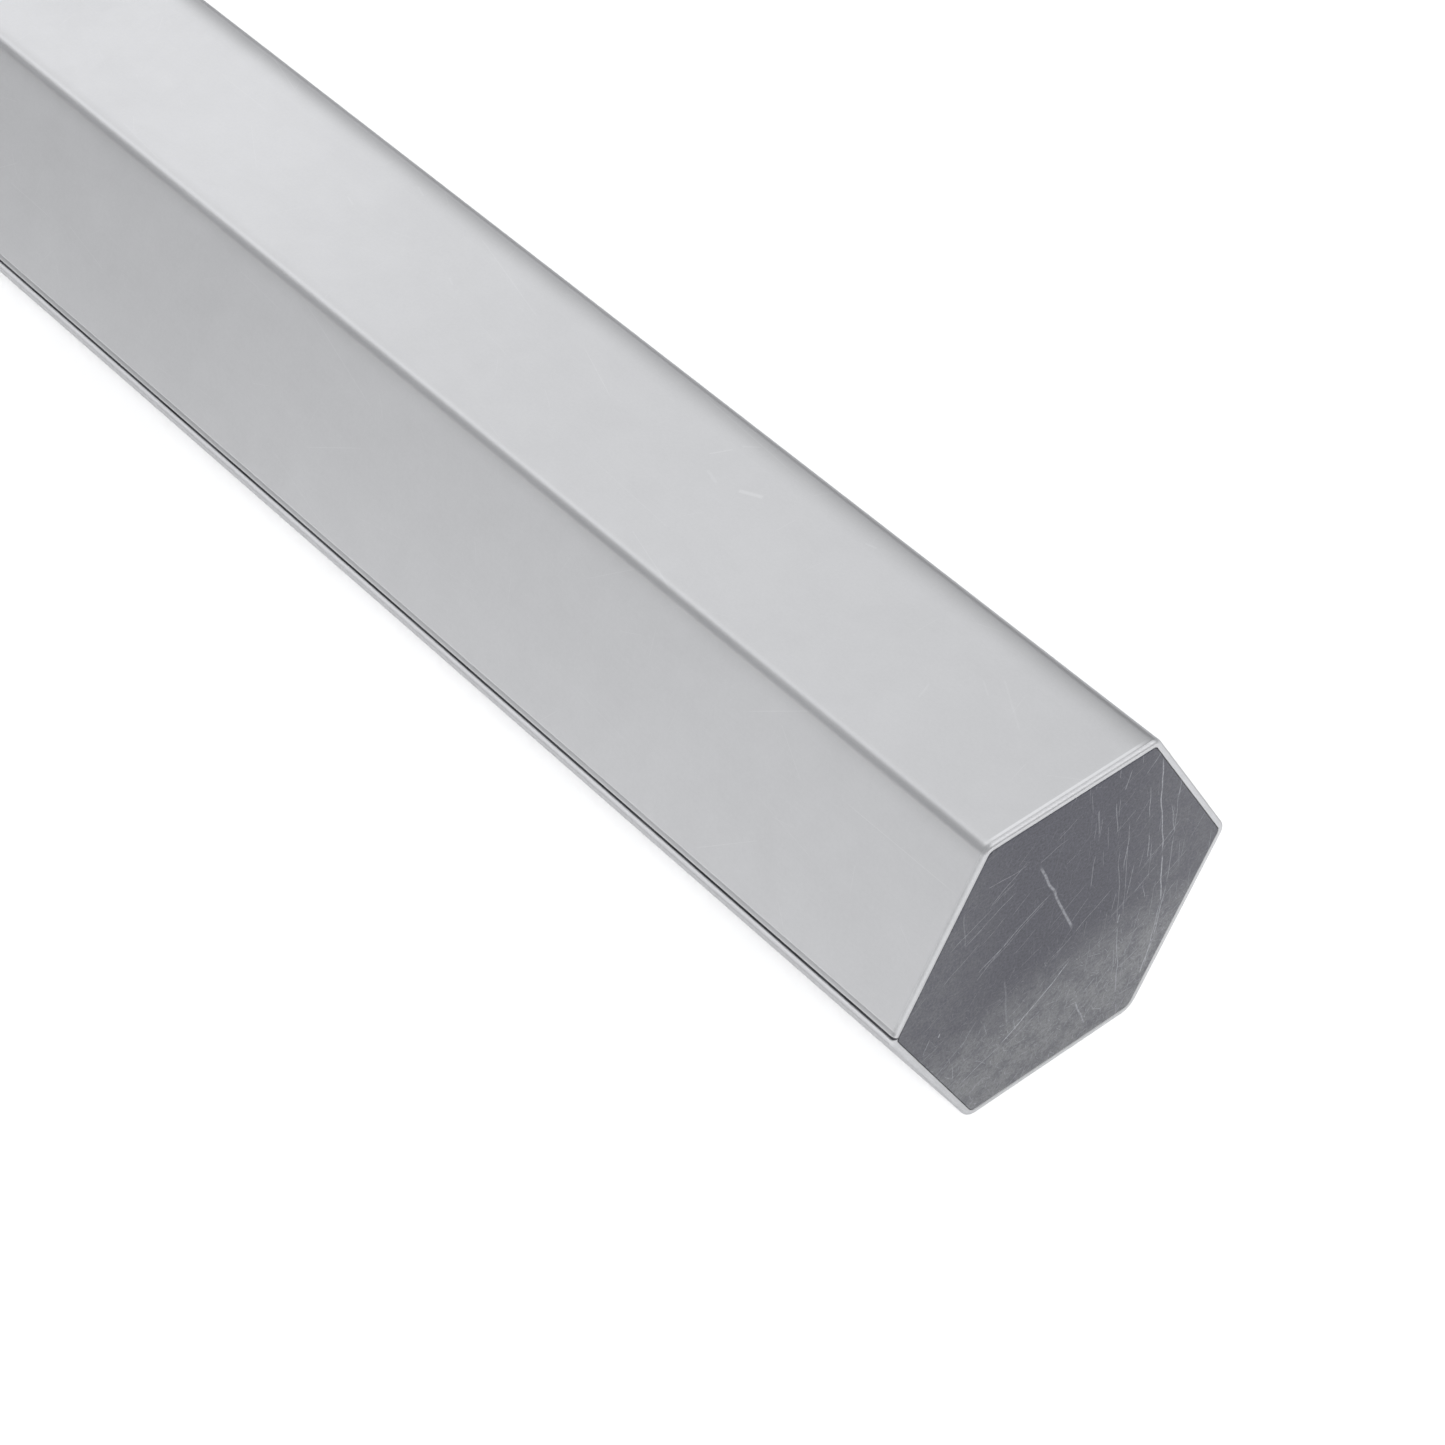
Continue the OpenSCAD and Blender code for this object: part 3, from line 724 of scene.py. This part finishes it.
def plate_metal():
    """Dark blue-grey plate, lighter and hazier low down, with many bright scratches."""
    net = Net("scratched_plate")
    _, y, z = net.split(net.mm)
    z = net.math("SUBTRACT", z, AXIS / MM)
    plain = net.join(y, z)
    # the scratches wander a little off straight
    wobble = net.noise(plain, 0.06, 2.0, 0.5, output="Color")
    shift = net.vec("MULTIPLY", net.vec("SUBTRACT", wobble, (0.5, 0.5, 0.5)), (3.2, 3.2, 0))
    flat = net.vec("ADD", plain, shift)
    strokes = net.most([net.stroke(flat, *s) for s in PLATE_STROKES])
    rising = net.most([net.marks(flat, 19, 17, 0.30, 0.75, 5, 34, 12),
                       net.marks(flat, 11, 10, 0.22, 0.6, 6, 38, 20)])
    upright = net.most([net.marks(flat, 13, 13, 0.34, 0.7, 7, 91, 7),
                        net.marks(flat, 8, 7.5, 0.22, 0.6, 8, 88, 9)])
    upright = net.times(upright, net.span(y, -14.0, 22.0, 0.12, 1.0))
    loose = net.most([net.marks(flat, 7, 6, 0.24, 0.6, 9), net.marks(flat, 3.4, 3.0, 0.2, 0.6, 10),
                      net.marks(flat, 2.1, 1.7, 0.2, 0.55, 12)])
    low = net.span(net.add(z, net.times(y, -0.05)), 7.0, -33.0)
    rub = net.noise(flat, 0.17, 6.0, 0.78, distortion=0.1)
    grain = net.noise(plain, 1.3, 4.0, 0.7)
    speck = net.noise(plain, 3.2, 2.0, 0.6)
    side = net.span(net.math("ABSOLUTE", y), 12.0, 46.0, 0.15, 0.42)
    haze = net.times(net.span(rub, 0.36, 0.62, 0.42, 1.12), net.math("MAXIMUM", low, side))
    colour = net.mix(haze, (0.080, 0.080, 0.099, 1), (0.222, 0.226, 0.236, 1))
    gain = net.add(net.span(grain, 0.25, 0.75, 0.77, 1.23), net.span(speck, 0.3, 0.7, -0.06, 0.06))
    colour = net.shade(colour, gain)
    lines = net.most([strokes, net.times(net.most([rising, upright]), 0.58),
                      net.times(loose, net.math("MULTIPLY_ADD", low, 0.5, 0.16))])
    broken = net.span(net.noise(plain, 0.9, 3.0, 0.7), 0.3, 0.62, 0.35, 1.0)
    lines = net.times(lines, broken)
    colour = net.mix(lines, colour, (0.47, 0.48, 0.51, 1))
    rough = net.math("SUBTRACT", net.span(rub, 0.3, 0.7, 0.42, 0.56), net.times(lines, 0.1))
    height = net.math("SUBTRACT", net.times(grain, 0.3), lines)
    return net.finish(colour, 0.85, rough, net.bump(height, 0.00005, 0.35))


def turned_metal(name, colour, rough, grain=2.6, wear=0.05):
    """Machined or stamped steel with fine tool marks, small scratches and worn, brighter patches."""
    net = Net(name)
    tool = net.noise(net.vec("MULTIPLY", net.mm, (grain, 1, 1)), 1.0, 3.0, 0.6)
    spot = net.noise(net.mm, 0.35, 4.0, 0.6)
    fine = net.noise(net.mm, 3.5, 2.0, 0.6)
    _, y, z = net.split(net.mm)
    lines = net.marks(net.join(y, z), 6, 4.5, 0.12, 0.5, 11)
    gain = net.add(net.span(spot, 0.3, 0.7, 1 - wear, 1 + wear), net.span(tool, 0.3, 0.7, -0.03, 0.03))
    gain = net.add(gain, net.times(lines, 0.12))
    rougher = net.add(net.span(spot, 0.3, 0.7, rough - 0.05, rough + 0.07),
                      net.span(fine, 0.3, 0.7, -0.02, 0.02))
    height = net.math("SUBTRACT", net.add(net.times(tool, 0.5), net.times(fine, 0.3)), lines)
    return net.finish(net.shade((*colour, 1), gain), 1.0, rougher, net.bump(height, 0.00003, 0.4))


def rubber(name, colour, rough=0.62):
    """Black rubber with a fine moulded texture and a dusting of grey."""
    net = Net(name)
    moulded = net.noise(net.mm, 1.8, 4.0, 0.6)
    dust = net.noise(net.mm, 0.06, 5.0, 0.65)
    dusty = [c + d for c, d in zip(colour, (0.05, 0.05, 0.052))]
    base = net.mix(net.span(dust, 0.45, 0.75, 0.0, 0.35), (*colour, 1), (*dusty, 1))
    base = net.shade(base, net.span(moulded, 0.3, 0.7, 0.9, 1.1))
    net.shader.inputs["Specular IOR Level"].default_value = 0.4
    return net.finish(base, 0.0, net.span(moulded, 0.3, 0.7, rough - 0.06, rough + 0.08),
                      net.bump(moulded, 0.00006, 0.5))


def floor_paint():
    """Plain pale matt paint."""
    net = Net("studio_floor")
    cloud = net.noise(net.mm, 0.002, 2.0, 0.5)
    fine = net.noise(net.mm, 0.3, 2.0, 0.5)
    colour = net.shade((0.93, 0.93, 0.93, 1), net.span(cloud, 0.3, 0.7, 0.995, 1.0))
    net.shader.inputs["Specular IOR Level"].default_value = 0.2
    return net.finish(colour, 0.0, 0.8, net.bump(fine, 0.00001, 0.1))


# ---------------------------------------------------------------- assembly


def give(obj, *materials):
    for m in materials:
        obj.data.materials.append(m)


def soften(node, material, width):
    """A carried-over CAD node: its own material, and small rounded edges."""
    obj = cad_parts[node]
    for slot in obj.material_slots:
        slot.material = material
    weld = obj.modifiers.new("weld", "WELD")
    weld.merge_threshold = 1e-6
    flat = obj.modifiers.new("flatten", "DECIMATE")
    flat.decimate_type, flat.angle_limit = "DISSOLVE", math.radians(1.0)
    bevel = obj.modifiers.new("edges", "BEVEL")
    bevel.width, bevel.segments, bevel.limit_method = width * MM, 2, "ANGLE"
    bevel.angle_limit = math.radians(35)


# the seam's material is painted shade
sheet, edge, seam_shade = shell_metal(), rim_metal(), painted_seam_shade()
plate_mat = plate_metal()
ring_mat = turned_metal("machined_ring", (0.50, 0.51, 0.52), 0.36)
bright = turned_metal("bright_steel", (0.62, 0.63, 0.64), 0.27)
pressed = turned_metal("pressed_steel", (0.58, 0.59, 0.60), 0.34, grain=0.5)
screw_mat = turned_metal("screw_steel", (0.36, 0.37, 0.38), 0.33)
nut_mat = turned_metal("nut_steel", (0.44, 0.45, 0.46), 0.3, grain=4.0)
lid_mat = turned_metal("lid_sheet", (0.62, 0.63, 0.628), 0.38, grain=0.2, wear=0.03)
liner_rubber = rubber("liner_rubber", (0.022, 0.022, 0.024))
seal_rubber = rubber("seal_rubber", (0.032, 0.032, 0.034), 0.55)


def add(obj, node, body, slot, *materials):
    """A finished piece that stands in for a CAD node, on the body it moves with."""
    give(obj, *materials)
    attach(obj, body)
    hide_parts(node)


add(build_shell(), "shell", "barrel", "shell_metal", sheet, edge, seam_shade)
add(build_end_plate(), "end_plate", "barrel", "dark_plate", plate_mat)
add(build_liner(), "rubber_liner", "barrel", "liner_rubber", liner_rubber)
add(build_studs(), "lid_studs", "barrel", "bright_steel", bright)
add(build_pull(), "folding_pull", "pull", "bright_steel", bright)
for number in range(1, 7):
    add(build_washer(number), f"washer_{number}", f"washer_carrier_{number}", "bright_steel", bright)
    add(build_nut(number), f"thumb_nut_{number}", f"nut_{number}", "nut_steel", nut_mat)

soften("mouth_ring", ring_mat, 0.3)
soften("lid_gasket", seal_rubber, 0.3)
soften("lid_plate", lid_mat, 0.25)
soften("lid_pad", seal_rubber, 0.8)
soften("clamp_disc", ring_mat, 0.4)
soften("disc_screws", screw_mat, 0.25)
soften("pull_bracket", pressed, 0.35)
soften("bracket_screws", screw_mat, 0.25)


# ---------------------------------------------------------------- camera, light and floor

# Places, distances and sizes are in metres here.
# the camera's place, from the middle of the closed end, and the directions of its picture
CAMERA_FROM_END = (0.476444, -0.518498, 0.769598)
RIGHT = (0.6454293, 0.7638055, 0.0047047)
DOWN = (0.5411803, -0.452943, -0.7084959)
AHEAD = (-0.5390221, 0.4598301, -0.7056992)

camera_data = bpy.data.cameras.new("camera")
camera_data.lens, camera_data.sensor_width = 103.5369, 36
camera_data.clip_start, camera_data.clip_end = 0.05, 50
camera = bpy.data.objects.new("camera", camera_data)
bpy.context.scene.collection.objects.link(camera)
camera.location = Vector((X_END, 0, AXIS)) + Vector(CAMERA_FROM_END)
turn = Matrix((RIGHT, [-v for v in DOWN], [-v for v in AHEAD])).transposed()
camera.rotation_euler = turn.to_euler()
bpy.context.scene.camera = camera

# what the soft boxes are aimed at
AIM = Vector((0.1, 0, 0.06))


def area(name, towards, distance, size, power):
    """A soft box in the direction towards, seen from what it is aimed at."""
    data = bpy.data.lights.new(name, "AREA")
    data.shape, data.size, data.size_y = "RECTANGLE", size[0], size[1]
    data.energy = power
    obj = bpy.data.objects.new(name, data)
    bpy.context.scene.collection.objects.link(obj)
    way = Vector(towards).normalized()
    obj.location = AIM + way * distance
    obj.rotation_euler = (-way).to_track_quat("-Z", "Y").to_euler()


def sun(name, towards, strength, angle):
    """A far light, as wide in the sky as angle in degrees."""
    data = bpy.data.lights.new(name, "SUN")
    data.energy, data.angle = strength, math.radians(angle)
    obj = bpy.data.objects.new(name, data)
    bpy.context.scene.collection.objects.link(obj)
    obj.rotation_euler = (-Vector(towards)).to_track_quat("-Z", "Y").to_euler()
    # metal doesn't reflect it: it lights the floor, the rubber and whatever else is matt
    obj.visible_glossy = False


area("back_box", (-0.667, 0.242, 0.704), 2.6, (2.9, 2.6), 17.8)
area("left_strip", (-0.35, -0.93, 0.12), 2.4, (1.6, 0.5), 1.6)
area("right_box", (0.42, 0.52, 0.74), 2.4, (2.4, 1.8), 12.0)
sun("key", (0.50, -0.50, 0.72), 3.1, 16)

world = bpy.data.worlds.new("studio")
bpy.context.scene.world = world
world.use_nodes = True
backdrop = world.node_tree.nodes["Background"]
backdrop.inputs["Color"].default_value = (0.975, 0.985, 1.0, 1)
backdrop.inputs["Strength"].default_value = 0.38

bpy.context.scene.view_settings.view_transform = "Standard"
bpy.context.scene.view_settings.look = "None"

# half the floor's width, and how far below the barrel it is, so that the two never coincide
FLOOR, FLOOR_DROP = 12.0, 0.0002
floor_mesh = bpy.data.meshes.new("floor")
corners = ((-1, -1), (1, -1), (1, 1), (-1, 1))
floor_mesh.from_pydata([(x * FLOOR, y * FLOOR, -FLOOR_DROP) for x, y in corners], [], [(0, 1, 2, 3)])
floor = bpy.data.objects.new("floor", floor_mesh)
bpy.context.scene.collection.objects.link(floor)
give(floor, floor_paint())
